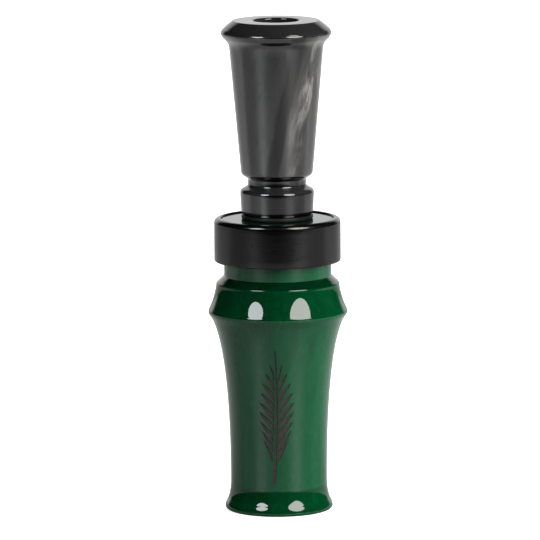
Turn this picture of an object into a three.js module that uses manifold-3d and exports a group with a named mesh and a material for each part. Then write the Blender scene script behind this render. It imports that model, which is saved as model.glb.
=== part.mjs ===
// A duck call: a turned barrel with a metal band, and an insert that plugs into it on
// rubber rings and carries the tone board, two reeds and the cork wedge that clamps them.
// Millimetres. The origin is the centre of the barrel's mouth end, +Z runs along the call
// to the exhaust end, and the tone board's flat face, with the reeds on it, looks to -Y.
import * as THREE from "three";
import { mergeVertices } from "three/addons/utils/BufferGeometryUtils.js";
import Module from "manifold-3d";

const wasm = await Module();
wasm.setup();

const SIDES = 32; // flats around every turned surface

// Lengths along the axis
const BARREL_TOP = 77.5;
const SHOULDER = 78.76; // where the insert's stem sits down on its seat ring
const CALL_TOP = 130;

// Barrel
const BORE_RADIUS = 8; // 5/8 inch bore
const LIP = { radius: 14.24, rounding: 1.05, bulge: 4.4 };
const WAIST = { radius: 12.74, z: 7 };
const CREST = { radius: 18.36, z: 52.9, rounding: 1.4 };
const NECK_RADIUS = 14.16;
const BAND_SEAT = { radius: 14.8, z: 66.6, corner: 0.3 };
const BORE_ROUNDING = 1; // at the mouth end
const BORE_TOP_CORNER = 0.4;

// Band
const BAND = { inner: 14.85, outer: 16.69, bottom: 66.3, top: 77.85 };
const BAND_EDGE = { upper: 1.3, lower: 0.45, inner: 0.2 }; // roundings

// Insert stem
const NECK_RING = { radius: 9.73, z: 84.55, rounding: 1.23 };
const LANYARD_GROOVE = { radius: 7.68, bottom: 86.9, top: 87.9 };
const CONE = { bottom: 9.49, top: 12.35, from: 90.1, to: 122.8 };
const RIM = { radius: 14.58, z: 126.75, rounding: 0.9 };
const CROWN_RADIUS = 11.35;
const EXHAUST = { throat: 3, mouth: 6, rounding: 0.5 };
const SOCKET = { radius: 6, depth: 15.4 };
const SHOULDER_ROUNDING = 0.2;

// Tone board: one rod, with a spigot in the stem, a tenon in the barrel and a milled board
const SPIGOT = { radius: 5.9, gap: 0.2 };
const TENON = { radius: 7.9, bottom: 62, top: 78.7, corner: 0.3 };
const SOUND_BORE_RADIUS = 2.8;
const SOUND_BORE_END = 21;
const RING_GROOVE = { radius: 6.2, width: 2.2, centres: [65.9, 74.7] };
const SLOT_MOUTH = 52; // the reeds bend from here down
const SLOT_ROOF = { end: 53, inner: -4.2, outer: -4.4 };
const BOARD = { face: -1, tip: 13, halfWidth: 7.1, tipCorner: 3, backTip: 4.3, backFrom: 42 };
const PAST = 10; // reach of a milling cut beyond the stock
const BOARD_SLOPE = 0.028; // start of the face's fall away from the reeds
const BOARD_CURVE = 0.00046; // growth of that fall, per mm

// Rubber rings
const SEAL = { inner: 6.25, outer: 7.94, height: 1.78 };
const SEAT = { inner: 7.94, outer: 9.45, gap: 0.03 };

// Reeds and cork
const REED = { thickness: 0.25, halfWidth: 7, gap: 0.03, corner: 2.2 };
const REED_ROOT_TOP = 61.9;
const REED_SPLIT = 0.1; // clearance between a reed's clamped root and its tongue
const LOWER_REED_TIP = 14.5;
const UPPER_REED_TIP = 19;
const CORK = { halfWidth: 6, bottom: 52.1, top: 61.9, gap: 0.04 };

const at = (r, z) => new THREE.Vector2(r, z);

// Points along a round edge about (r, z), between two angles in degrees from +r to +z.
function round(r, z, radius, from, to, steps) {
  return Array.from({ length: steps + 1 }, (_, i) => {
    const angle = THREE.MathUtils.degToRad(from + ((to - from) * i) / steps);
    return at(r + radius * Math.cos(angle), z + radius * Math.sin(angle));
  });
}

// Points along a smooth bend from a to d, which leaves towards b and arrives from c.
function bend(a, b, c, d, steps) {
  return new THREE.CubicBezierCurve(a, b, c, d).getPoints(steps);
}

function solidOf(geometry) {
  geometry.deleteAttribute("normal");
  geometry.deleteAttribute("uv");
  const merged = mergeVertices(geometry, 1e-4);
  return new wasm.Manifold(
    new wasm.Mesh({
      numProp: 3,
      vertProperties: merged.attributes.position.array,
      triVerts: new Uint32Array(merged.index.array),
    }),
  );
}

// A solid turned about Z. The profile runs up its outside and, for a ring, down its bore.
function turned(profile) {
  const onAxis = profile[0].x === 0;
  const outline = onAxis ? profile : [...profile, profile[0].clone()];
  const geometry = new THREE.LatheGeometry(outline, SIDES);
  geometry.rotateX(Math.PI / 2);
  return solidOf(geometry);
}

// A plain turned rod between two heights.
function rod(radius, bottom, top) {
  return turned([at(0, bottom), at(radius, bottom), at(radius, top), at(0, top)]);
}

function extruded(outline, depth) {
  const shape = new THREE.Shape(outline);
  return new THREE.ExtrudeGeometry(shape, { depth, bevelEnabled: false });
}

// A bar across the call along X, with an outline of (y, z) points. The matrix turns the
// extrusion's x, y and z into y, z and x.
function barAcross(outline, halfWidth) {
  const geometry = extruded(outline.map(([y, z]) => at(y, z)), 2 * halfWidth);
  geometry.translate(0, 0, -halfWidth);
  geometry.applyMatrix4(
    new THREE.Matrix4().set(0, 0, 1, 0, 1, 0, 0, 0, 0, 1, 0, 0, 0, 0, 0, 1),
  );
  return solidOf(geometry);
}

// A plate that faces Y, with an outline of (x, z) points, from one y to a larger one.
function plate(outline, yLow, yHigh) {
  const geometry = extruded(outline, yHigh - yLow);
  geometry.rotateX(Math.PI / 2);
  geometry.translate(0, yHigh, 0);
  return solidOf(geometry);
}

function barrel() {
  const waist = at(WAIST.radius, WAIST.z);
  const mouth = [
    at(BORE_RADIUS + BORE_ROUNDING, 0),
    ...round(LIP.radius - LIP.rounding, LIP.rounding, LIP.rounding, -90, -10, 3),
    ...round(LIP.radius - LIP.bulge, 0.45, LIP.bulge, 7, 30, 3),
    ...bend(at(13.62, 2.7), at(13.34, 3.2), at(12.86, 4.9), waist, 5),
  ];
  const flare = bend(waist, at(WAIST.radius, 39.5), at(16, 48), at(17.25, 50.75), 10).slice(1);
  const crest = round(CREST.radius - CREST.rounding, CREST.z, CREST.rounding, -37, 26, 5);
  const shoulder = [
    ...bend(at(18.1, 53.75), at(17.4, 55.3), at(16.64, 57.3), at(16.27, 60.1), 5),
    ...round(15.74, 60.32, 0.54, 8, 50, 3),
    ...bend(at(15.62, 61.12), at(15.1, 61.6), at(14.45, 62.25), at(NECK_RADIUS, 62.5), 4),
  ];
  const bandSeat = [
    at(NECK_RADIUS, BAND_SEAT.z),
    at(BAND_SEAT.radius, BAND_SEAT.z),
    at(BAND_SEAT.radius, BARREL_TOP - BAND_SEAT.corner),
    at(BAND_SEAT.radius - BAND_SEAT.corner, BARREL_TOP),
  ];
  const bore = [
    at(BORE_RADIUS + BORE_TOP_CORNER, BARREL_TOP),
    at(BORE_RADIUS, BARREL_TOP - BORE_TOP_CORNER),
    ...round(BORE_RADIUS + BORE_ROUNDING, BORE_ROUNDING, BORE_ROUNDING, 180, 240, 2),
  ];
  return turned([...mouth, ...flare, ...crest, ...shoulder, ...bandSeat, ...bore]);
}

function band() {
  const { inner, outer, bottom, top } = BAND;
  const { upper, lower, inner: corner } = BAND_EDGE;
  return turned([
    at(inner + corner, bottom),
    ...round(outer - lower, bottom + lower, lower, -90, 0, 2),
    ...round(outer - upper, top - upper, upper, 0, 90, 4),
    at(inner + corner, top),
    at(inner, top - corner),
    at(inner, bottom + corner),
  ]);
}

function insertStem() {
  const { radius, bottom, top } = LANYARD_GROOVE;
  const foot = SHOULDER + SHOULDER_ROUNDING;
  const neckRing = [
    at(SOCKET.radius, SHOULDER),
    ...round(9.2, foot, SHOULDER_ROUNDING, -90, 0, 2),
    at(9.5, SHOULDER + 1),
    ...round(NECK_RING.radius - NECK_RING.rounding, NECK_RING.z, NECK_RING.rounding, 5, 68, 3),
  ];
  const groove = [
    at(8, 86.2),
    at(radius, bottom),
    at(radius, top),
    ...bend(at(8.3, 88.7), at(8.85, 88.98), at(9.4, 89.35), at(CONE.bottom, CONE.from), 3),
  ];
  const cove = bend(at(CONE.top, CONE.to), at(12.52, 124.3), at(13.26, 124.72), at(14.02, 125.55), 5);
  const rim = [
    ...round(RIM.radius - RIM.rounding, RIM.z, RIM.rounding, -42, 40, 4),
    ...bend(at(14.27, 127.62), at(13.33, 128.52), at(12.3, 129.38), at(CROWN_RADIUS, CALL_TOP), 4),
  ];
  const socketEnd = SHOULDER + SOCKET.depth;
  const { throat, mouth, rounding } = EXHAUST;
  const exhaust = [
    ...round(mouth + rounding, CALL_TOP - rounding, rounding, 90, 180, 3),
    at(throat, socketEnd),
    at(SOCKET.radius, socketEnd),
  ];
  return turned([...neckRing, ...groove, ...cove, ...rim, ...exhaust]);
}

// How far the board's face has fallen away from the reeds at a height.
function boardFall(z) {
  const run = SLOT_MOUTH - z;
  return run * BOARD_SLOPE + run * run * BOARD_CURVE;
}

// The room milled away in front of the board: the slot for the reeds and the cork under
// its roof, and below it everything in front of the board's falling face.
function frontCut() {
  const steps = 10;
  const face = Array.from({ length: steps + 1 }, (_, i) => {
    const z = THREE.MathUtils.lerp(BOARD.tip - 1, SLOT_MOUTH, i / steps);
    return [BOARD.face + boardFall(z), z];
  });
  return barAcross(
    [
      ...face,
      [BOARD.face, TENON.bottom],
      [SLOT_ROOF.inner, TENON.bottom],
      [SLOT_ROOF.outer, SLOT_ROOF.end],
      [-PAST, SLOT_ROOF.end],
      [-PAST, BOARD.tip - 1],
    ],
    PAST,
  );
}

// The room milled away behind the board, which thins it towards its tip.
function backCut() {
  return barAcross(
    [
      [BOARD.backTip, BOARD.tip - 1],
      [PAST, BOARD.tip - 1],
      [PAST, BOARD.backFrom + 5],
      [TENON.radius + 0.1, BOARD.backFrom],
    ],
    PAST,
  );
}

// The board's outline from the front, with rounded corners at its tip.
function boardOutline() {
  const { halfWidth, tip, tipCorner } = BOARD;
  const inner = halfWidth - tipCorner;
  return [
    ...round(-inner, tip + tipCorner, tipCorner, 180, 270, 4),
    ...round(inner, tip + tipCorner, tipCorner, 270, 360, 4),
    at(halfWidth, SLOT_MOUTH - 0.8),
    at(TENON.radius + 1, SLOT_MOUTH + 1),
    at(TENON.radius + 1, CALL_TOP),
    at(-TENON.radius - 1, CALL_TOP),
    at(-TENON.radius - 1, SLOT_MOUTH + 1),
    at(-halfWidth, SLOT_MOUTH - 0.8),
  ];
}

function toneBoard() {
  const { radius, width, centres } = RING_GROOVE;
  const grooves = centres.flatMap((centre) => [
    at(TENON.radius, centre - width / 2),
    at(radius, centre - width / 2),
    at(radius, centre + width / 2),
    at(TENON.radius, centre + width / 2),
  ]);
  const spigotEnd = SHOULDER + SOCKET.depth - SPIGOT.gap;
  const blank = turned([
    at(0, BOARD.tip),
    at(TENON.radius, BOARD.tip),
    ...grooves,
    at(TENON.radius, TENON.top - TENON.corner),
    at(TENON.radius - TENON.corner, TENON.top),
    at(SPIGOT.radius, TENON.top),
    at(SPIGOT.radius, spigotEnd),
    at(0, spigotEnd),
  ]);
  const soundBore = rod(SOUND_BORE_RADIUS, SOUND_BORE_END, CALL_TOP);
  const outline = plate(boardOutline(), -TENON.radius - 1, TENON.radius + 1);
  return blank
    .intersect(outline)
    .subtract(frontCut())
    .subtract(backCut())
    .subtract(soundBore);
}

// A rubber ring about the axis, with a rounded section, between two radii.
function rubberRing(inner, outer, bottom, top) {
  const halfWidth = (outer - inner) / 2;
  const halfHeight = (top - bottom) / 2;
  const centre = at((inner + outer) / 2, (top + bottom) / 2);
  const corners = 8;
  return turned(
    Array.from({ length: corners }, (_, i) => {
      const angle = ((i + 0.5) / corners) * 2 * Math.PI;
      const reach = 1 / Math.cos(Math.PI / corners);
      return at(
        centre.x + halfWidth * reach * Math.cos(angle),
        centre.y + halfHeight * reach * Math.sin(angle),
      );
    }),
  );
}

// Front-view outline of a reed's clamped root, inside the slot.
function reedRoot() {
  const { halfWidth } = REED;
  return [
    at(-halfWidth, SLOT_MOUTH),
    at(halfWidth, SLOT_MOUTH),
    at(halfWidth, REED_ROOT_TOP),
    at(-halfWidth, REED_ROOT_TOP),
  ];
}

// Front-view outline of a reed's free tongue, with clipped corners at its tip.
function reedTongue(tip) {
  const { halfWidth, corner } = REED;
  const top = SLOT_MOUTH - REED_SPLIT;
  return [
    at(-halfWidth + corner, tip),
    at(halfWidth - corner, tip),
    at(halfWidth, tip + corner),
    at(halfWidth, top),
    at(-halfWidth, top),
    at(-halfWidth, tip + corner),
  ];
}

// Back and front faces of the reed in a layer, 0 next to the board and 1 on top of it.
function reedFaces(layer) {
  const back = BOARD.face - REED.gap - layer * (REED.thickness + REED.gap);
  return [back - REED.thickness, back];
}

function reedPiece(outline, layer) {
  const [front, back] = reedFaces(layer);
  return plate(outline, front, back);
}

// The cork fills the slot between the upper reed and the roof.
function wedgeCork() {
  const { halfWidth, bottom, top, gap } = CORK;
  const back = reedFaces(1)[0] - gap;
  return barAcross(
    [
      [back, bottom],
      [back, top],
      [SLOT_ROOF.inner + gap, top],
      [SLOT_ROOF.outer + gap, bottom],
    ],
    halfWidth,
  );
}

// An O-ring in the tenon's groove at a height.
function seal(centre) {
  const half = SEAL.height / 2;
  return rubberRing(SEAL.inner, SEAL.outer, centre - half, centre + half);
}

function material(color, roughness, metalness = 0) {
  return new THREE.MeshStandardMaterial({ color, roughness, metalness });
}

// A named mesh with its own material, from a solid.
function piece(name, solid, finish) {
  const { numProp, vertProperties, triVerts } = solid.getMesh();
  const position = new THREE.BufferAttribute(new Float32Array(vertProperties), numProp);
  const geometry = new THREE.BufferGeometry();
  geometry.setAttribute("position", position);
  geometry.setIndex(new THREE.BufferAttribute(new Uint32Array(triVerts), 1));
  geometry.computeVertexNormals();
  const mesh = new THREE.Mesh(geometry, material(...finish));
  mesh.name = name;
  return mesh;
}

const GREEN_ACRYLIC = ["#0b4a2a", 0.08];
const BLACK_ALUMINIUM = ["#1a1a1c", 0.3, 0.6];
const PEARL_ACRYLIC = ["#3c3d40", 0.1];
const BOARD_ACRYLIC = ["#141416", 0.25];
const RUBBER = ["#101010", 0.7];
const CORK_FINISH = ["#a9794b", 0.9];
const REED_FILM = ["#d9dcd8", 0.35];

const barrelGroup = new THREE.Group();
barrelGroup.add(
  piece("barrel", barrel(), GREEN_ACRYLIC),
  piece("band", band(), BLACK_ALUMINIUM),
);

const insertGroup = new THREE.Group();
insertGroup.add(
  piece("insert_stem", insertStem(), PEARL_ACRYLIC),
  piece("tone_board", toneBoard(), BOARD_ACRYLIC),
  piece(
    "seat_o_ring",
    rubberRing(SEAT.inner, SEAT.outer, BARREL_TOP + SEAT.gap, SHOULDER - SEAT.gap),
    RUBBER,
  ),
  piece("lower_o_ring", seal(RING_GROOVE.centres[0]), RUBBER),
  piece("upper_o_ring", seal(RING_GROOVE.centres[1]), RUBBER),
);

const reedGroup = new THREE.Group();
reedGroup.add(
  piece("lower_reed_root", reedPiece(reedRoot(), 0), REED_FILM),
  piece("lower_reed_tongue", reedPiece(reedTongue(LOWER_REED_TIP), 0), REED_FILM),
  piece("upper_reed_root", reedPiece(reedRoot(), 1), REED_FILM),
  piece("upper_reed_tongue", reedPiece(reedTongue(UPPER_REED_TIP), 1), REED_FILM),
  piece("wedge_cork", wedgeCork(), CORK_FINISH),
);

const duckCall = new THREE.Group();
duckCall.add(barrelGroup, insertGroup, reedGroup);

export default duckCall;
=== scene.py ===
"""A duck call in a small studio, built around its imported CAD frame.

Blender makes the fine surfaces: the turned barrel with its engraved feather, the band, the
pearl insert, the tone board with its reeds and cork, the rubber rings, and every material.
Profiles are (radius, height) points in millimetres; objects are in metres.
"""

import math

import bmesh
import bpy
from mathutils import Matrix, Vector, geometry


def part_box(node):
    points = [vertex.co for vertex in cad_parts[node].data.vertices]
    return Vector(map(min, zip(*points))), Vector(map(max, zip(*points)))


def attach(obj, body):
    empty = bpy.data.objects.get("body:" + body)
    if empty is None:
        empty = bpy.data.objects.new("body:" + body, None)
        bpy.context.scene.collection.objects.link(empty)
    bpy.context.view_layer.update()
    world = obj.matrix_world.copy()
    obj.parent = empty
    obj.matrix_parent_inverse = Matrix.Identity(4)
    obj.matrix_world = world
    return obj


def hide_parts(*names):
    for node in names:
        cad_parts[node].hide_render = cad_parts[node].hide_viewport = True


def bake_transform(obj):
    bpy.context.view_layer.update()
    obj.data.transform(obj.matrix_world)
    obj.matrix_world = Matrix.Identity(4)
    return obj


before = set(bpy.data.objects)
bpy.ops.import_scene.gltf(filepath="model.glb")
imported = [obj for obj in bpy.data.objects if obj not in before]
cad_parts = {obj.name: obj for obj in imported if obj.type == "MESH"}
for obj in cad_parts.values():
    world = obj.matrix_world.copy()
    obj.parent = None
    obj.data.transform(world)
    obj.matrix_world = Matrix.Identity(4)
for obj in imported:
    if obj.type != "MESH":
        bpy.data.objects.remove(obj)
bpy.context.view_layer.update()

MM = 0.001
SIDES = 192
SHARP = math.radians(32)


def top_of(node):
    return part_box(node)[1].z / MM


def bottom_of(node):
    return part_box(node)[0].z / MM


def radius_of(node):
    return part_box(node)[1].x / MM


# ---------------------------------------------------------------- sizes, in millimetres

# barrel
LIP = 14.24
LIP_ROUNDING = 1.05
LIP_BULGE = 4.4
LIP_BULGE_HEIGHT = 0.45
WAIST = (12.74, 7.0)
CREST = radius_of("barrel")
CREST_HEIGHT = 52.9
CREST_ROUNDING = 1.4
NECK = 14.16
BAND_SEAT = 14.8
BAND_SEAT_BOTTOM = 66.6
BAND_SEAT_CORNER = 0.3
BARREL_TOP = top_of("barrel")
BORE = 8.0
BORE_ROUNDING = 1.0  # at the mouth end
BORE_TOP_CORNER = 0.4

# engraved feather
ENGRAVING_DEPTH = 0.2
ENGRAVING_ROWS = (6.0, 46.5)
ENGRAVING_HALF_ANGLE = math.radians(30)
FEATHER = {"left": -1.0, "foot": 8.8, "tip": 44.6, "half_width": 4.5, "barbs": 9}
QUILL_SWAY = 0.55
QUILL_TIP = 0.16  # half its width there
QUILL_SWELL = 0.34  # what its foot has more
BARE_QUILL = 0.16  # of its length, below the first barb
BARB_GAP = 0.28  # beside the quill
BARB_BLUNTNESS = 0.12

# band
BAND_GAP = 0.05
BAND_UPPER_EDGE = 1.3
BAND_LOWER_EDGE = 0.45
BAND_INNER_EDGE = 0.2

# insert stem
SHOULDER = bottom_of("insert_stem")
SHOULDER_ROUNDING = 0.2
NECK_FOOT = 9.2
NECK_RING = (9.73, 84.55)
NECK_RING_ROUNDING = 1.23
GROOVE = 7.68
GROOVE_ROWS = (86.9, 87.9)
CONE_BOTTOM = (9.49, 90.1)
CONE_TOP = (12.35, 122.8)
RIM = radius_of("insert_stem")
RIM_HEIGHT = 126.75
RIM_ROUNDING = 0.9
CROWN = 11.35
CALL_TOP = top_of("insert_stem")
EXHAUST_MOUTH = 6.0
EXHAUST_THROAT = 3.0
EXHAUST_ROUNDING = 0.5
SOCKET = 6.0

# rubber rings: inner radius, and how square the section is
RINGS = {"seat_o_ring": (7.94, 3.2), "upper_o_ring": (6.25, 2.2), "lower_o_ring": (6.25, 2.2)}

# tone board
TENON = radius_of("tone_board")
SHOULDER_GAP = 0.06
TENON_TOP = SHOULDER - SHOULDER_GAP
TENON_CORNER = 0.3
SPIGOT = 5.9
SPIGOT_GAP = 0.2
TONE_BOARD_TOP = top_of("tone_board")
RING_GROOVES = (65.9, 74.7)
RING_GROOVE_FLOOR = 6.2
RING_GROOVE_HALF_WIDTH = 1.1
SOUND_BORE = 2.8
SOUND_BORE_END = 21.0
SLOT_MOUTH = bottom_of("lower_reed_root")
SLOT_TOP = 62.0
SLOT_ROOF_END = 53.0
SLOT_ROOF = (-4.2, -4.4)  # its underside at the slot's top and at its own end
BOARD_FACE = -1.0
BOARD_FALL = (0.028, 0.00046)  # of the face away from the reeds: per mm, and per mm squared
BOARD_TIP = bottom_of("tone_board")
BOARD_TIP_CORNER = 3.0
BOARD_HALF_WIDTH = 7.1
BOARD_BACK_TIP = 4.3
BOARD_BACK_TOP = 42.0
BOARD_EASED_EDGE = 0.12
PAST = 10.0  # from the axis, which is outside the stock: where a milling cut begins

# reeds and cork
REED_CORNER = 2.2
CORK_INSET = 0.03
CORK_TAPER = 0.2
CORK_EDGE = 0.35
CORK_DIP = 0.06

# ---------------------------------------------------------------- outlines and meshes


def arc(r, z, radius, start, end, steps=10):
    """Points round (r, z), between two angles in degrees from outwards to upwards."""
    angles = [math.radians(start + (end - start) * i / steps) for i in range(steps + 1)]
    return [(r + radius * math.cos(a), z + radius * math.sin(a)) for a in angles]


def bend(a, b, c, d, steps=24):
    """Points on a smooth bend from a to d, which leaves towards b and arrives from c."""
    points = []
    for i in range(steps + 1):
        t = i / steps
        u = 1 - t
        weights = (u * u * u, 3 * u * u * t, 3 * u * t * t, t * t * t)
        points.append(tuple(sum(w * p[k] for w, p in zip(weights, (a, b, c, d))) for k in (0, 1)))
    return points


def without_doubles(points, gap=1e-4):
    """The closed outline with each repeated point taken once."""
    return [p for i, p in enumerate(points) if math.dist(p, points[i - 1]) > gap]


def closely_spaced(outline, step=1.5):
    """The outline with its long straight runs divided, which keeps their shading straight."""
    spaced = []
    for i, (r, z) in enumerate(outline):
        next_r, next_z = outline[(i + 1) % len(outline)]
        parts = math.ceil(math.dist((r, z), (next_r, next_z)) / step)
        for k in range(parts):
            spaced.append((r + (next_r - r) * k / parts, z + (next_z - z) * k / parts))
    return spaced


def on_turned_surface(r, angle, z):
    """A point at an angle in radians round from the front, -Y, towards +X."""
    return (r * math.sin(angle) * MM, -r * math.cos(angle) * MM, z * MM)


def finished(name, mesh, material=None):
    """A smooth-shaded object in the scene, with the material if the mesh has none yet."""
    mesh.shade_smooth()
    mesh.set_sharp_from_angle(angle=SHARP)
    if material:
        mesh.materials.append(material)
    piece = bpy.data.objects.new(name, mesh)
    bpy.context.scene.collection.objects.link(piece)
    return piece


def lathe(profile, sides=SIDES):
    """Vertices and faces of a closed ring turned about Z, from an outline that runs up its
    outside and down its bore."""
    outline = closely_spaced(without_doubles(profile))
    verts = [
        on_turned_surface(r, 2 * math.pi * i / sides, z)
        for r, z in outline
        for i in range(sides)
    ]
    faces = []
    for j in range(len(outline)):
        k = (j + 1) % len(outline)
        for i in range(sides):
            n = (i + 1) % sides
            faces.append((j * sides + i, j * sides + n, k * sides + n, k * sides + i))
    return outline, verts, faces


def turned(name, profile, material):
    _, verts, faces = lathe(profile)
    mesh = bpy.data.meshes.new(name)
    mesh.from_pydata(verts, [], faces)
    return finished(name, mesh, material)


def place(piece, body, slot, *nodes):
    """The piece rides on a body and stands for its CAD nodes. Its slot is not used."""
    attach(piece, body)
    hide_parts(*nodes)
    return piece


# ---------------------------------------------------------------- materials


class Shader:
    """A material's nodes, with a short call for each kind that this scene uses."""

    def __init__(self, name, roughness, **constants):
        self.material = bpy.data.materials.new(name)
        self.material.use_nodes = True
        self.tree = self.material.node_tree
        self.surface = self.tree.nodes["Principled BSDF"]
        self.surface.inputs["Roughness"].default_value = roughness
        for socket, value in constants.items():
            self.surface.inputs[socket.replace("_", " ")].default_value = value

    def node(self, kind, inputs=(), **settings):
        made = self.tree.nodes.new(kind)
        for key, value in settings.items():
            setattr(made, key, value)
        for key, value in dict(inputs).items():
            if isinstance(value, bpy.types.NodeSocket):
                self.tree.links.new(value, made.inputs[key])
            else:
                made.inputs[key].default_value = value
        return made

    def where(self, scale=(1, 1, 1), location=(0, 0, 0)):
        """The object's own coordinates, stretched by a scale per metre."""
        coordinates = self.node("ShaderNodeTexCoord").outputs["Object"]
        mapping = {"Vector": coordinates, "Scale": scale, "Location": location}
        return self.node("ShaderNodeMapping", mapping).outputs["Vector"]

    def noise(self, vector, scale=1.0, detail=3.0, roughness=0.5, distortion=0.0):
        sockets = {
            "Vector": vector,
            "Scale": scale,
            "Detail": detail,
            "Roughness": roughness,
            "Distortion": distortion,
        }
        return self.node("ShaderNodeTexNoise", sockets).outputs["Fac"]

    def between(self, value, low, high, to_low=0.0, to_high=1.0):
        """The value, smoothly mapped from one range to another."""
        sockets = {
            "Value": value,
            "From Min": low,
            "From Max": high,
            "To Min": to_low,
            "To Max": to_high,
        }
        kind = {"interpolation_type": "SMOOTHSTEP"}
        return self.node("ShaderNodeMapRange", sockets, **kind).outputs["Result"]

    def math(self, operation, a, b):
        return self.node("ShaderNodeMath", {0: a, 1: b}, operation=operation).outputs[0]

    def times(self, a, b):
        """A colour times another colour or a number."""
        return self.node("ShaderNodeVectorMath", {0: a, 1: b}, operation="MULTIPLY").outputs[0]

    def upward(self, normal):
        """How far a normal points up: 1 on a top face and 0 on a wall."""
        return self.node("ShaderNodeSeparateXYZ", {0: normal}).outputs["Z"]

    def mix(self, factor, a, b):
        """Colour a where the factor is 0 and colour b where it is 1."""
        made = self.node("ShaderNodeMix", {"Factor": factor}, data_type="RGBA")
        for key, value in ((6, a), (7, b)):
            if isinstance(value, bpy.types.NodeSocket):
                self.tree.links.new(value, made.inputs[key])
            else:
                made.inputs[key].default_value = (*value, 1)
        return made.outputs[2]

    def color(self, socket):
        self.tree.links.new(socket, self.surface.inputs["Base Color"])

    def roughness(self, socket):
        self.tree.links.new(socket, self.surface.inputs["Roughness"])

    def metallic(self, socket):
        self.tree.links.new(socket, self.surface.inputs["Metallic"])

    def bump(self, height, strength, distance):
        sockets = {"Height": height, "Strength": strength, "Distance": distance}
        normal = self.node("ShaderNodeBump", sockets).outputs["Normal"]
        self.tree.links.new(normal, self.surface.inputs["Normal"])


ACRYLIC_IOR = 1.49
PEARL_PLACE = (7.3, 2.0, 4.1)  # where in the noise the rod was cut
PEARL_ROUGHNESS = 0.2
PEARL_LEAN = -0.21  # sideways per mm of height, above PEARL_LEANS_FROM
PEARL_LEANS_FROM = 90.0
PEARL_LEANS_ABOUT = 96.0
PEARL_WANDER = 3.4


def green_acrylic():
    """Deep green cast acrylic, polished. Painted shade: faces that turn upwards are darker, and
    near-flat tops darker still.
    """
    s = Shader("green_acrylic", 0.03, IOR=ACRYLIC_IOR)
    swirl = s.noise(s.where((70, 70, 9)), detail=4, distortion=0.6)
    streaks = s.noise(s.where((420, 420, 16)), detail=3, distortion=0.3)
    grain = s.noise(s.where((900, 900, 500)), detail=2)
    drawn = s.math("ADD", s.math("MULTIPLY", swirl, 0.55), s.math("MULTIPLY", streaks, 0.45))
    body = s.mix(s.between(drawn, 0.34, 0.66), (0.0005, 0.043, 0.0158), (0.0009, 0.061, 0.0222))
    fleck = s.mix(s.between(grain, 0.45, 0.75), (0, 0, 0), (0.001, 0.008, 0.0034))
    speckled = s.node("ShaderNodeVectorMath", {0: body, 1: fleck}, operation="ADD").outputs[0]
    facing_up = s.upward(s.node("ShaderNodeNewGeometry").outputs["Normal"])
    # Painted shade: the colour is darkened by how far the surface faces up.
    painted_shade_on_slopes = s.mix(s.between(facing_up, 0.05, 0.085), (1, 1, 1), (0.82, 0.58, 0.48))
    painted_shade_on_tops = s.mix(s.between(facing_up, 0.45, 0.75), (1, 1, 1), (0.45, 0.45, 0.45))
    s.color(s.times(speckled, s.times(painted_shade_on_slopes, painted_shade_on_tops)))
    s.roughness(s.between(grain, 0.3, 0.8, 0.02, 0.05))
    return s.material


def engraved_fill():
    """Dark brown laser-cut floor of the engraving: dull and a little rough."""
    s = Shader("engraved_fill", 0.75, IOR=1.4)
    burn = s.noise(s.where((2500, 2500, 2500)), detail=4, roughness=0.7)
    s.color(s.mix(s.between(burn, 0.3, 0.7), (0.023, 0.018, 0.0165), (0.042, 0.034, 0.031)))
    s.bump(burn, 0.5, 0.00008)
    return s.material


def black_aluminium():
    """Black anodised band with fine turning lines round it."""
    s = Shader("black_aluminium", 0.1, IOR=1.5, Anisotropic=0.7)
    lines = s.noise(s.where((60, 60, 4200)), detail=4, roughness=0.75)
    cloud = s.noise(s.where((90, 90, 160)), detail=3)
    s.color(s.mix(cloud, (0.0008, 0.0008, 0.001), (0.0025, 0.0025, 0.003)))
    s.roughness(s.between(lines, 0.3, 0.7, 0.08, 0.2))
    s.bump(lines, 0.5, 0.00002)
    return s.material


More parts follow.
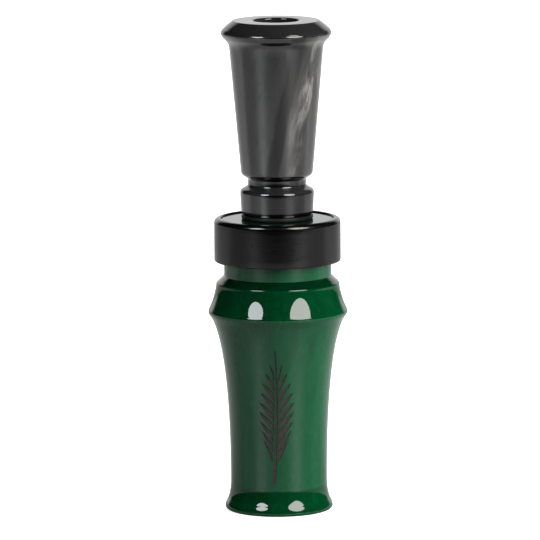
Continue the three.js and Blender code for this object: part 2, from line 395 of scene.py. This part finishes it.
def pearl_acrylic():
    """Black cast acrylic: silver pearl drawn out along the rod, under a clear polish. A dark
    sheet and a bright one run through the rod at a slant. Painted shade: on upward faces,
    such as the end face, its chamfer and the rim's top, and in the bore, the colour is plain black
    and the metallic pearl is off; the bore is also rougher."""
    s = Shader(
        "black_pearl_acrylic",
        PEARL_ROUGHNESS,
        Coat_Weight=1.0,
        Coat_Roughness=0.03,
        Coat_IOR=ACRYLIC_IOR,
        Specular_IOR_Level=0.0,
    )
    millimetres = s.where((1000, 1000, 1000))
    x, y, z = s.node("ShaderNodeSeparateXYZ", {0: millimetres}).outputs
    drift = s.noise(s.where((110, 110, 34)), detail=3, distortion=0.8)
    wander = s.math("MULTIPLY", s.math("SUBTRACT", drift, 0.5), PEARL_WANDER)
    height = s.math("SUBTRACT", s.math("MAXIMUM", z, PEARL_LEANS_FROM), PEARL_LEANS_ABOUT)
    lean = s.math("MULTIPLY", height, PEARL_LEAN)
    across = s.math("ADD", s.math("ADD", x, lean), wander)
    sheets = s.node("ShaderNodeCombineXYZ", {0: across, 1: y, 2: z}).outputs[0]

    def drawn(scale):
        """The sheets' own coordinates, stretched by a scale per millimetre."""
        mapping = {"Vector": sheets, "Scale": scale, "Location": PEARL_PLACE}
        return s.node("ShaderNodeMapping", mapping).outputs[0]

    above_groove = s.between(z, 86.0, 90.0)
    dark_sheet_end = s.math("MULTIPLY", s.between(across, 1.1, 2.3), above_groove)
    dark_sheet = s.math("SUBTRACT", s.between(across, -2.4, -1.0), dark_sheet_end)
    bright_sheet = s.math("SUBTRACT", s.between(across, 2.2, 4.4), s.between(across, 5.4, 8.4))
    patches = s.noise(drawn((0.26, 0.26, 0.075)), detail=3, roughness=0.5, distortion=0.8)
    streaks = s.noise(drawn((1.4, 1.4, 0.15)), detail=4, roughness=0.65, distortion=0.6)
    wide = s.noise(drawn((0.1, 0.1, 0.012)), detail=2, distortion=0.5)
    grey = s.mix(s.between(wide, 0.36, 0.6), (0.084, 0.084, 0.086), (0.108, 0.108, 0.11))
    grey = s.mix(dark_sheet, grey, (0.042, 0.042, 0.043))
    grey = s.times(grey, s.between(streaks, 0.3, 0.7, 0.86, 1.1))
    streaked = s.between(streaks, 0.34, 0.62, 0.3, 1.0)
    wisps = s.math("MULTIPLY", s.between(patches, 0.42, 0.76), streaked)
    glow = s.math("MULTIPLY", bright_sheet, wisps)
    below_rim = s.between(z, 111.0, 121.0, 1.0, 0.55)
    by_height = s.math("MULTIPLY", s.between(z, 86.0, 106.0), below_rim)
    bright = s.math("MULTIPLY", glow, by_height)
    pearl = s.mix(bright, grey, (0.82, 0.785, 0.755))
    facing_up = s.upward(s.node("ShaderNodeTexCoord").outputs["Normal"])
    out_from_axis = s.node("ShaderNodeCombineXYZ", {0: x, 1: y}).outputs[0]
    radius = s.node("ShaderNodeVectorMath", {0: out_from_axis}, operation="LENGTH").outputs["Value"]
    # Painted shade in the bore and on upward faces: where this mask is 1 the colour is plain black
    # and the metallic pearl is off.
    bored = s.between(radius, EXHAUST_MOUTH + 0.1, EXHAUST_MOUTH + 0.5, 1.0, 0.0)
    painted_shade_tops_and_bore = s.math("MAXIMUM", s.between(facing_up, 0.15, 0.4), bored)
    s.color(s.mix(painted_shade_tops_and_bore, pearl, (0.014, 0.014, 0.0145)))
    s.metallic(s.math("SUBTRACT", 1.0, painted_shade_tops_and_bore))
    s.roughness(s.between(bored, 0.0, 1.0, PEARL_ROUGHNESS, 0.4))
    return s.material


def tone_board_acrylic():
    """Machined black acrylic, satin, with cutter lines across the board."""
    s = Shader("tone_board_acrylic", 0.25, IOR=ACRYLIC_IOR)
    cuts = s.noise(s.where((30, 30, 2600)), detail=2)
    cloud = s.noise(s.where((300, 300, 300)), detail=3)
    s.color(s.mix(cloud, (0.007, 0.007, 0.0075), (0.013, 0.013, 0.014)))
    s.roughness(s.between(cuts, 0.3, 0.7, 0.18, 0.34))
    s.bump(cuts, 0.3, 0.00001)
    return s.material


def black_rubber():
    s = Shader("black_rubber", 0.5, IOR=1.35)
    dust = s.noise(s.where((1600, 1600, 1600)), detail=4, roughness=0.7)
    s.color(s.mix(s.between(dust, 0.5, 0.8), (0.004, 0.004, 0.004), (0.014, 0.014, 0.0135)))
    s.roughness(s.between(dust, 0.3, 0.8, 0.42, 0.62))
    s.bump(dust, 0.2, 0.00002)
    return s.material


def cork():
    """Cut cork: tan cells, darker growth bands and open pores."""
    s = Shader("cork", 0.85, IOR=1.4)
    cells = s.node("ShaderNodeTexVoronoi", {"Vector": s.where((1500, 1500, 1500)), "Scale": 1.0})
    pores = s.noise(s.where((420, 420, 260)), detail=5, roughness=0.65, distortion=0.8)
    bands = s.noise(s.where((90, 90, 700)), detail=3)
    tan = s.mix(s.between(bands, 0.35, 0.7), (0.42, 0.245, 0.115), (0.58, 0.37, 0.19))
    cell = s.mix(s.between(cells.outputs["Distance"], 0.2, 0.8), tan, (0.30, 0.16, 0.07))
    s.color(s.mix(s.between(pores, 0.58, 0.66), cell, (0.07, 0.03, 0.015)))
    s.bump(s.math("SUBTRACT", cells.outputs["Distance"], pores), 0.6, 0.00012)
    return s.material


def reed_film():
    """Frosted polyester film."""
    s = Shader("reed_film", 0.4, IOR=1.57, Transmission_Weight=0.25)
    frost = s.noise(s.where((2200, 2200, 2200)), detail=3, roughness=0.6)
    drawn = s.noise(s.where((700, 700, 25)), detail=3)
    s.color(s.mix(s.between(drawn, 0.35, 0.65), (0.60, 0.63, 0.61), (0.74, 0.76, 0.73)))
    s.roughness(s.between(frost, 0.3, 0.7, 0.33, 0.5))
    s.bump(frost, 0.15, 0.00001)
    return s.material


# ---------------------------------------------------------------- barrel and its feather


def barrel_profile():
    mouth = arc(LIP - LIP_ROUNDING, LIP_ROUNDING, LIP_ROUNDING, -90, -10, 12)
    bulge = arc(LIP - LIP_BULGE, LIP_BULGE_HEIGHT, LIP_BULGE, 7, 30, 10)
    lip = bend((13.62, 2.7), (13.34, 3.2), (12.86, 4.9), WAIST, 18)
    flare = bend(WAIST, (WAIST[0], 39.5), (16, 48), (17.25, 50.75), 64)
    crest = arc(CREST - CREST_ROUNDING, CREST_HEIGHT, CREST_ROUNDING, -37, 26, 14)
    slope = bend((18.1, 53.75), (17.4, 55.3), (16.64, 57.3), (16.27, 60.1), 18)
    edge = arc(15.74, 60.32, 0.54, 8, 50, 9)
    foot = bend((15.62, 61.12), (15.1, 61.6), (14.45, 62.25), (NECK, 62.5), 10)
    outer, inner = BAND_SEAT_CORNER, BORE_TOP_CORNER
    seat = [
        (NECK, BAND_SEAT_BOTTOM),
        (BAND_SEAT, BAND_SEAT_BOTTOM),
        *arc(BAND_SEAT - outer, BARREL_TOP - outer, outer, 0, 90, 5),
        *arc(BORE + inner, BARREL_TOP - inner, inner, 90, 180, 5),
    ]
    bore = arc(BORE + BORE_ROUNDING, BORE_ROUNDING, BORE_ROUNDING, 180, 270, 8)
    return [*mouth, *bulge, *lip, *flare, *crest, *slope, *edge, *foot, *seat, *bore]


def feather():
    """The engraving, as outlines of (across, up) points in millimetres that run
    anticlockwise: a quill and two rows of curved barbs with a gap after each."""
    left, foot, tip = FEATHER["left"], FEATHER["foot"], FEATHER["tip"]
    length = tip - foot
    steps = 12

    def quill(v):
        """The quill's sideways place and half its width at a height."""
        t = (v - foot) / length
        sideways = left + QUILL_SWAY * math.sin(math.pi * (t - 0.15))
        return sideways, QUILL_TIP + QUILL_SWELL * (1 - t)

    def quill_side(side):
        heights = [foot + length * i / (2 * steps) for i in range(2 * steps + 1)]
        return [(quill(v)[0] + side * quill(v)[1], v) for v in heights]

    outlines = [[*quill_side(1), *reversed(quill_side(-1))]]
    count = FEATHER["barbs"]
    pitch = 0.68 * length / count
    for side in (-1, 1):
        for i in range(count):
            root = foot + BARE_QUILL * length + i * pitch
            fullness = math.sin(math.pi * (0.22 + 0.70 * i / (count - 1))) ** 0.8
            reach = FEATHER["half_width"] * fullness
            rise = 5.6 - 1.2 * i / count
            thick = 0.80 * pitch
            lower, upper = [], []
            for k in range(steps + 1):
                t = k / steps
                v = root + rise * t**1.25
                middle, half = quill(v)
                across = middle + side * (half + BARB_GAP + (reach - half - BARB_GAP) * t)
                lower.append((across, v))
                upper.append((across, v + thick * (1 - t**2.2) + BARB_BLUNTNESS))
            barb = [*lower, *reversed(upper)]
            outlines.append(barb if side > 0 else barb[::-1])
    return outlines


def engraved_barrel():
    """The turned barrel, with the feather cut into its front."""
    outline, verts, faces = lathe(barrel_profile())
    low, high = ENGRAVING_ROWS
    outer_side = BORE + 2
    rows = [j for j, (r, z) in enumerate(outline) if low <= z <= high and r > outer_side]
    reach = int(ENGRAVING_HALF_ANGLE / (2 * math.pi) * SIDES)
    columns = list(range(-reach, reach + 1))
    flat_scale = WAIST[0]  # the front is flattened at the waist's radius to lay the feather out

    def radius_at(z):
        for j in rows[:-1]:
            (r0, z0), (r1, z1) = outline[j], outline[j + 1]
            if z0 <= z <= z1:
                return r0 + (r1 - r0) * (z - z0) / (z1 - z0)
        raise ValueError(f"no engraving row at height {z}")

    points, owners = [], []
    for j in rows:
        for i in columns:
            angle = 2 * math.pi * i / SIDES
            points.append(Vector((angle * flat_scale, outline[j][1])))
            owners.append(j * SIDES + i % SIDES)
    wide = len(columns)
    tall = len(rows)
    rim = [
        *[(i, i + 1) for i in range(wide - 1)],
        *[((tall - 1) * wide + i, (tall - 1) * wide + i + 1) for i in range(wide - 1)],
        *[(j * wide, (j + 1) * wide) for j in range(tall - 1)],
        *[(j * wide + wide - 1, (j + 1) * wide + wide - 1) for j in range(tall - 1)],
    ]
    shapes = []
    for shape in feather():
        start = len(points)
        points.extend(Vector(p) for p in shape)
        shapes.append(list(range(start, len(points))))
    flat, _, triangles, sources, _, inside = geometry.delaunay_2d_cdt(
        points, rim, shapes, 0, 1e-5
    )

    ids = []
    for point, source in zip(flat, sources):
        owner = next((owners[s] for s in source if s < len(owners)), None)
        if owner is None:
            owner = len(verts)
            z = point.y
            verts.append(on_turned_surface(radius_at(z), point.x / flat_scale, z))
        ids.append(owner)

    patch = {(j, i % SIDES) for j in rows[:-1] for i in columns[:-1]}
    kept = [f for n, f in enumerate(faces) if (n // SIDES, n % SIDES) not in patch]
    cut = {tuple(ids[v] for v in t) for t, shape in zip(triangles, inside) if shape}
    mesh = bpy.data.meshes.new("barrel_with_feather")
    mesh.from_pydata(verts, [], kept + [tuple(ids[v] for v in t) for t in triangles])
    mesh.materials.append(green_acrylic())
    mesh.materials.append(engraved_fill())
    sink(mesh, cut)
    return finished("barrel_with_feather", mesh)


def sink(mesh, cut):
    """Pushes the faces with these corners straight in, with walls round them, and marks
    floor and walls for the engraving's own material."""
    work = bmesh.new()
    work.from_mesh(mesh)
    corners = {frozenset(face) for face in cut}
    chosen = [f for f in work.faces if frozenset(v.index for v in f.verts) in corners]
    made = bmesh.ops.extrude_face_region(work, geom=chosen)["geom"]
    bmesh.ops.delete(work, geom=chosen, context="FACES")
    floor = [e for e in made if isinstance(e, bmesh.types.BMVert)]
    for vert in floor:
        out = Vector((vert.co.x, vert.co.y, 0)).normalized()
        vert.co -= out * ENGRAVING_DEPTH * MM
    for vert in floor:
        for face in vert.link_faces:
            face.material_index = 1
    loose = [v for v in work.verts if not v.link_faces]
    bmesh.ops.delete(work, geom=loose, context="VERTS")
    work.normal_update()
    work.to_mesh(mesh)
    work.free()


def make_barrel():
    place(engraved_barrel(), "barrel", "green_acrylic", "barrel")


# ---------------------------------------------------------------- band


def make_band():
    inner = BAND_SEAT + BAND_GAP
    outer = radius_of("band")
    bottom, top = bottom_of("band"), top_of("band")
    upper, lower, corner = BAND_UPPER_EDGE, BAND_LOWER_EDGE, BAND_INNER_EDGE
    profile = [
        *arc(outer - lower, bottom + lower, lower, -90, 0, 6),
        *arc(outer - upper, top - upper, upper, 0, 90, 14),
        *arc(inner + corner, top - corner, corner, 90, 180, 4),
        *arc(inner + corner, bottom + corner, corner, 180, 270, 4),
    ]
    place(turned("anodised_band", profile, black_aluminium()), "barrel", "black_aluminium", "band")


# ---------------------------------------------------------------- insert stem


def stem_profile():
    ring_r, ring_z = NECK_RING
    groove_bottom, groove_top = GROOVE_ROWS
    throat = (EXHAUST_THROAT, TONE_BOARD_TOP + SPIGOT_GAP)
    edge = EXHAUST_ROUNDING
    neck = [
        *arc(NECK_FOOT, SHOULDER + SHOULDER_ROUNDING, SHOULDER_ROUNDING, -90, 0, 5),
        *bend((9.5, SHOULDER + 1), (9.57, 81), (9.69, 83), NECK_RING, 8),
        *arc(ring_r - NECK_RING_ROUNDING, ring_z, NECK_RING_ROUNDING, 5, 68, 12),
    ]
    groove = [
        *bend((8.9, 85.72), (8, 86.1), (GROOVE, 86.4), (GROOVE, groove_bottom), 10),
        *bend((GROOVE, groove_top), (7.69, 88.25), (7.9, 88.45), (8.3, 88.7), 8),
        *bend((8.3, 88.7), (8.85, 88.98), (9.4, 89.35), CONE_BOTTOM, 10),
    ]
    cove = bend(CONE_TOP, (12.52, 124.3), (13.26, 124.72), (14.02, 125.55), 18)
    rim = [
        *arc(RIM - RIM_ROUNDING, RIM_HEIGHT, RIM_ROUNDING, -42, 40, 14),
        *bend((14.27, 127.62), (13.33, 128.52), (12.3, 129.38), (CROWN, CALL_TOP), 16),
    ]
    exhaust = [
        *arc(EXHAUST_MOUTH + edge, CALL_TOP - edge, edge, 90, 180, 6),
        *bend((EXHAUST_MOUTH, CALL_TOP - 2), (5.4, 120), (3.4, 104), throat, 24),
        (SOCKET, throat[1]),
        (SOCKET, SHOULDER),
    ]
    return [*neck, *groove, *cove, *rim, *exhaust]


def make_stem():
    stem = turned("pearl_insert_stem", stem_profile(), pearl_acrylic())
    place(stem, "insert", "black_pearl_acrylic", "insert_stem")


# ---------------------------------------------------------------- rubber rings


def ring_profile(node):
    """A ring's section in its node's box; squareness 2 is an ellipse and more is squarer."""
    inner, squareness = RINGS[node]
    low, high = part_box(node)
    outer = high.x / MM
    r, z = (inner + outer) / 2, (low.z + high.z) / 2 / MM
    half_r, half_z = (outer - inner) / 2, (high.z - low.z) / 2 / MM
    steps = 36

    def reach(value):
        return math.copysign(abs(value) ** (2 / squareness), value)

    turns = [2 * math.pi * i / steps for i in range(steps)]
    return [(r + half_r * reach(math.cos(t)), z + half_z * reach(math.sin(t))) for t in turns]


def make_rings():
    rubber = black_rubber()
    for node in RINGS:
        ring = turned(node + "_rubber", ring_profile(node), rubber)
        place(ring, "seals", "black_rubber", node)


# ---------------------------------------------------------------- tone board


def solid(name, verts, faces):
    mesh = bpy.data.meshes.new(name)
    mesh.from_pydata([Vector(v) * MM for v in verts], [], faces)
    work = bmesh.new()
    work.from_mesh(mesh)
    bmesh.ops.recalc_face_normals(work, faces=work.faces)
    work.to_mesh(mesh)
    work.free()
    piece = bpy.data.objects.new(name, mesh)
    bpy.context.scene.collection.objects.link(piece)
    return piece


def prism(name, outline, low, high, place_point):
    """An outline of (a, b) points drawn out between two depths along the third axis;
    place_point turns an (a, b, depth) into an (x, y, z)."""
    n = len(outline)
    verts = [place_point(a, b, depth) for depth in (low, high) for a, b in outline]
    sides = [(i, (i + 1) % n, n + (i + 1) % n, n + i) for i in range(n)]
    return solid(name, verts, [tuple(range(n)), tuple(range(n, 2 * n)), *sides])


def rod(name, profile, sides=96):
    """A solid turned about Z, from an outline that starts and ends on the axis."""
    inner = profile[1:-1]
    angles = [2 * math.pi * i / sides for i in range(sides)]
    verts = [(r * math.sin(a), -r * math.cos(a), z) for r, z in inner for a in angles]
    neighbours = [(i, (i + 1) % sides) for i in range(sides)]
    faces = [
        (j * sides + i, j * sides + n, (j + 1) * sides + n, (j + 1) * sides + i)
        for j in range(len(inner) - 1)
        for i, n in neighbours
    ]
    last = (len(inner) - 1) * sides
    caps = [tuple(reversed(range(sides))), tuple(range(last, last + sides))]
    return solid(name, verts, faces + caps)


def seen_from_the_side(y, z, x):
    return (x, y, z)


def seen_from_the_front(x, z, y):
    return (x, y, z)


def boolean(piece, other, operation):
    """Cuts or meets the piece with another solid, which is used up."""
    step = piece.modifiers.new("cut", "BOOLEAN")
    step.object = other
    step.operation = operation
    step.solver = "EXACT"
    depsgraph = bpy.context.evaluated_depsgraph_get()
    mesh = bpy.data.meshes.new_from_object(piece.evaluated_get(depsgraph))
    piece.modifiers.clear()
    piece.data = mesh
    bpy.data.objects.remove(other)
    bpy.context.view_layer.update()


def board_fall(z):
    """How far the board's face has fallen away from the reeds at a height."""
    run = SLOT_MOUTH - z
    straight, curved = BOARD_FALL
    return straight * run + curved * run * run


def make_tone_board():
    grooves = []
    floor = RING_GROOVE_FLOOR
    for centre in RING_GROOVES:
        low, high = centre - RING_GROOVE_HALF_WIDTH, centre + RING_GROOVE_HALF_WIDTH
        grooves += [(TENON, low), (floor, low), (floor, high), (TENON, high)]
    blank = rod(
        "tone_board_acrylic_piece",
        [
            (0, BOARD_TIP),
            (TENON, BOARD_TIP),
            *grooves,
            (TENON, TENON_TOP - TENON_CORNER),
            (TENON - TENON_CORNER, TENON_TOP),
            (SPIGOT, TENON_TOP),
            (SPIGOT, TONE_BOARD_TOP),
            (0, TONE_BOARD_TOP),
        ],
    )
    steps = 24
    heights = [BOARD_TIP - 1 + (SLOT_MOUTH - BOARD_TIP + 1) * i / steps for i in range(steps + 1)]
    face = [(BOARD_FACE + board_fall(z), z) for z in heights]
    front = [
        *face,
        (BOARD_FACE, SLOT_TOP),
        (SLOT_ROOF[0], SLOT_TOP),
        (SLOT_ROOF[1], SLOT_ROOF_END),
        (-PAST, SLOT_ROOF_END),
        (-PAST, BOARD_TIP - 1),
    ]
    back = [
        (BOARD_BACK_TIP, BOARD_TIP - 1),
        (PAST, BOARD_TIP - 1),
        (PAST, BOARD_BACK_TOP + 5),
        (TENON + 0.1, BOARD_BACK_TOP),
    ]
    wide = TENON + 1
    inner = BOARD_HALF_WIDTH - BOARD_TIP_CORNER
    tip = BOARD_TIP + BOARD_TIP_CORNER
    plan = [
        *arc(-inner, tip, BOARD_TIP_CORNER, 180, 270, 12),
        *arc(inner, tip, BOARD_TIP_CORNER, 270, 360, 12),
        (BOARD_HALF_WIDTH, SLOT_MOUTH - 0.8),
        (wide, SLOT_MOUTH + 1),
        (wide, CALL_TOP),
        (-wide, CALL_TOP),
        (-wide, SLOT_MOUTH + 1),
        (-BOARD_HALF_WIDTH, SLOT_MOUTH - 0.8),
    ]

    bore = [
        (0, SOUND_BORE_END),
        *arc(0, SOUND_BORE_END + SOUND_BORE, SOUND_BORE, -80, 0, 8),
        (SOUND_BORE, CALL_TOP),
        (0, CALL_TOP),
    ]
    boolean(blank, prism("plan", plan, -wide, wide, seen_from_the_front), "INTERSECT")
    boolean(blank, prism("front", front, -PAST, PAST, seen_from_the_side), "DIFFERENCE")
    boolean(blank, prism("back", back, -PAST, PAST, seen_from_the_side), "DIFFERENCE")
    boolean(blank, rod("bore", bore), "DIFFERENCE")
    mesh = blank.data
    bpy.data.objects.remove(blank)
    piece = finished("machined_tone_board", mesh, tone_board_acrylic())
    edges = piece.modifiers.new("eased_edges", "BEVEL")
    edges.width = BOARD_EASED_EDGE * MM
    edges.segments = 2
    edges.limit_method = "ANGLE"
    edges.angle_limit = math.radians(40)
    place(piece, "insert", "tone_board_acrylic", "tone_board")


# ---------------------------------------------------------------- reeds and cork


def make_reed(name, root, tongue, material):
    """One strip of film, from its clamped end to its clipped tip."""
    low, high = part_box(tongue)
    _, root_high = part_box(root)
    half_width = high.x / MM
    tip, top = low.z / MM, root_high.z / MM
    front, back = low.y / MM, high.y / MM
    columns, steps = 16, 60
    rows = [tip + (top - tip) * i / steps for i in range(steps + 1)]
    verts, faces = [], []
    for y in (front, back):
        for z in rows:
            clipped = max(0.0, REED_CORNER - (z - tip))
            reach = half_width - clipped
            verts += [(reach * (2 * i / columns - 1), y, z) for i in range(columns + 1)]
    wide = columns + 1
    tall = len(rows)
    for side in (0, 1):
        start = side * wide * tall
        for j in range(tall - 1):
            for i in range(columns):
                a = start + j * wide + i
                faces.append((a, a + 1, a + wide + 1, a + wide))
    edge = [
        *range(columns),
        *[j * wide + columns for j in range(tall - 1)],
        *[(tall - 1) * wide + i for i in range(columns, 0, -1)],
        *[j * wide for j in range(tall - 1, 0, -1)],
    ]
    skip = wide * tall
    for i, a in enumerate(edge):
        b = edge[(i + 1) % len(edge)]
        faces.append((a, b, b + skip, a + skip))
    strip = solid(name + "_mesh", verts, faces)
    mesh = strip.data
    bpy.data.objects.remove(strip)
    piece = finished(name, mesh, material)
    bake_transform(piece)
    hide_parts(root, tongue)


def make_reeds():
    film = reed_film()
    make_reed("lower_reed_strip", "lower_reed_root", "lower_reed_tongue", film)
    make_reed("upper_reed_strip", "upper_reed_root", "upper_reed_tongue", film)


def make_cork():
    """The cut cork wedge: soft edges and a slightly uneven surface."""
    low, high = (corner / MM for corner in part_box("wedge_cork"))
    outline = [
        (high.y - CORK_INSET, low.z),
        (high.y - CORK_INSET, high.z),
        (low.y + CORK_TAPER + CORK_INSET, high.z),
        (low.y + CORK_INSET, low.z),
    ]
    block = prism("block", outline, low.x, high.x, seen_from_the_side)
    mesh = block.data
    bpy.data.objects.remove(block)
    work = bmesh.new()
    work.from_mesh(mesh)
    rounding = {"offset": CORK_EDGE * MM, "segments": 2, "profile": 0.6}
    bmesh.ops.bevel(work, geom=work.edges, affect="EDGES", **rounding)
    bmesh.ops.subdivide_edges(work, edges=work.edges, cuts=6, use_grid_fill=True)
    bmesh.ops.triangulate(work, faces=[f for f in work.faces if len(f.verts) > 4])
    work.normal_update()
    for vert in work.verts:
        p = vert.co / MM
        dip = 0.5 + 0.5 * math.sin(3.1 * p.x + 1.7 * p.z) * math.cos(2.3 * p.z - 1.9 * p.x + p.y)
        vert.co -= vert.normal * CORK_DIP * dip * MM
    work.to_mesh(mesh)
    work.free()
    piece = finished("cork_wedge", mesh, cork())
    place(piece, "wedge", "cork", "wedge_cork")


# ---------------------------------------------------------------- studio

CAMERA_DISTANCE = 1.7
CAMERA_ELEVATION = math.radians(8.5)
CAMERA_TURNS_ABOUT = Vector((0, 0, 0.065))
CAMERA_AIM = Vector((-0.00201, 0, 0.06375))
CAMERA_ROLL = math.radians(-0.4)
LENS = 429.8


def make_camera():
    camera = bpy.data.cameras.new("camera")
    camera.lens = LENS
    camera.sensor_width = 36
    camera.clip_start, camera.clip_end = 0.05, 20
    holder = bpy.data.objects.new("camera", camera)
    bpy.context.scene.collection.objects.link(holder)
    back = Vector((0, -math.cos(CAMERA_ELEVATION), math.sin(CAMERA_ELEVATION)))
    holder.location = CAMERA_TURNS_ABOUT + back * CAMERA_DISTANCE
    facing = (CAMERA_AIM - holder.location).to_track_quat("-Z", "Y").to_matrix()
    holder.rotation_euler = (facing @ Matrix.Rotation(CAMERA_ROLL, 3, "Z")).to_euler()
    bpy.context.scene.camera = holder


def direction(azimuth, elevation):
    """Unit vector from the call: azimuth in degrees from the camera side towards +X."""
    a, e = math.radians(azimuth), math.radians(elevation)
    return Vector((math.sin(a) * math.cos(e), -math.cos(a) * math.cos(e), math.sin(e)))


def softbox(name, azimuth, elevation, half_width, half_height, radiance, color, distance=1.5):
    """An elliptical softbox that faces the call, with its size in degrees as seen from it."""
    light = bpy.data.lights.new(name, "AREA")
    light.shape = "ELLIPSE"
    light.size = 2 * distance * math.tan(math.radians(half_width))
    light.size_y = 2 * distance * math.tan(math.radians(half_height))
    light.energy = radiance * math.pi * math.pi * light.size * light.size_y / 4
    light.color = color
    holder = bpy.data.objects.new(name, light)
    bpy.context.scene.collection.objects.link(holder)
    way = direction(azimuth, elevation)
    holder.location = CAMERA_TURNS_ABOUT + way * distance
    holder.rotation_euler = way.to_track_quat("Z", "Y").to_euler()
    holder.visible_camera = False
    return holder


def sun(name, azimuth, elevation, spread, irradiance):
    """A soft distant light that shows in no reflection."""
    light = bpy.data.lights.new(name, "SUN")
    light.angle = math.radians(spread)
    light.energy = irradiance
    holder = bpy.data.objects.new(name, light)
    bpy.context.scene.collection.objects.link(holder)
    holder.rotation_euler = direction(azimuth, elevation).to_track_quat("Z", "Y").to_euler()
    holder.visible_glossy = False
    return holder


def make_lights():
    softbox("softbox_right", 42.5, 32, 16.5, 20, 11, (1.0, 0.98, 0.95))
    left = softbox("softbox_left", -42, 30, 12.3, 13.5, 13, (0.93, 0.97, 1.0))
    left.visible_diffuse = False
    sun("right_fill", 88, 6, 50, 6.0)
    sun("left_fill", -88, 6, 50, 1.8)
    sun("top_fill", 180, 80, 90, 1.1)


FLOOR_FRONT = -0.505
FLOOR_REACH = 6.0


def floor_sheet(name, near, height, s):
    """A level sheet from a near edge in front of the call to far behind it."""
    mesh = bpy.data.meshes.new(name)
    far = FLOOR_REACH
    corners = [(-far, near), (far, near), (far, far), (-far, far)]
    mesh.from_pydata([(x, y, height) for x, y in corners], [], [(0, 1, 2, 3)])
    mesh.materials.append(s.material)
    sheet = bpy.data.objects.new(name, mesh)
    bpy.context.scene.collection.objects.link(sheet)
    return sheet


def white_paper():
    s = Shader("white_paper", 0.6, Emission_Strength=0.8)
    grain = s.noise(s.where((40, 40, 40)), detail=3)
    s.color(s.mix(grain, (0.88, 0.88, 0.88), (0.92, 0.92, 0.92)))
    return s


def grey_paper():
    """Painted light on the floor: grey in front of the call, a painted pool of light just
    behind it, and painted shade where its near edge fades to dark.
    """
    s = Shader("grey_paper", 0.45)
    along = s.node("ShaderNodeSeparateXYZ", {0: s.where()}).outputs["Y"]
    # Painted shade: the floor darkens towards its near edge in front of the call.
    lit = s.between(along, FLOOR_FRONT, FLOOR_FRONT + 0.13)
    # Painted pool of light: palest just behind the call, a little less further back.
    sheet = s.mix(s.between(along, -0.02, 0.1), (0.32, 0.32, 0.32), (0.6, 0.6, 0.6))
    sheet = s.mix(s.between(along, 0.15, 0.3), sheet, (0.48, 0.48, 0.48))
    s.color(s.mix(lit, (0.02, 0.02, 0.02), sheet))
    return s


def make_floor():
    """A white floor for the eye, and the grey one that the gloss reflects."""
    white = floor_sheet("white_floor", -FLOOR_REACH, 0, white_paper())
    white.visible_diffuse = False
    white.visible_glossy = False
    white.visible_transmission = False
    white.visible_shadow = False
    grey = floor_sheet("reflected_floor", FLOOR_FRONT, -0.0002, grey_paper())
    grey.visible_camera = False


def make_world():
    """A pale backdrop behind the call and a dark room on the camera's side."""
    world = bpy.data.worlds.new("studio")
    bpy.context.scene.world = world
    world.use_nodes = True
    tree = world.node_tree
    nodes, links = tree.nodes, tree.links
    background = nodes["Background"]
    way = nodes.new("ShaderNodeSeparateXYZ")
    links.new(nodes.new("ShaderNodeTexCoord").outputs["Generated"], way.inputs[0])

    def edge(socket, low, high, to_low, to_high):
        step = nodes.new("ShaderNodeMapRange")
        step.interpolation_type = "SMOOTHSTEP"
        links.new(socket, step.inputs["Value"])
        ranges = {"From Min": low, "From Max": high, "To Min": to_low, "To Max": to_high}
        for key, value in ranges.items():
            step.inputs[key].default_value = value
        return step.outputs["Result"]

    behind = edge(way.outputs["Y"], 0.72, 0.86, 0.0, 1.0)
    below_top = edge(way.outputs["Z"], 0.68, 0.78, 1.0, 0.0)
    lit = nodes.new("ShaderNodeMath")
    lit.operation = "MULTIPLY"
    links.new(behind, lit.inputs[0])
    links.new(below_top, lit.inputs[1])
    seen = nodes.new("ShaderNodeMath")
    seen.operation = "MAXIMUM"
    links.new(lit.outputs[0], seen.inputs[0])
    links.new(nodes.new("ShaderNodeLightPath").outputs["Is Camera Ray"], seen.inputs[1])
    links.new(seen.outputs[0], background.inputs["Strength"])
    background.inputs["Color"].default_value = (1.0, 1.0, 1.0, 1)


make_camera()
make_lights()
make_floor()
make_world()
make_barrel()
make_band()
make_stem()
make_rings()
make_tone_board()
make_reeds()
make_cork()
bpy.context.scene.view_settings.view_transform = "Standard"
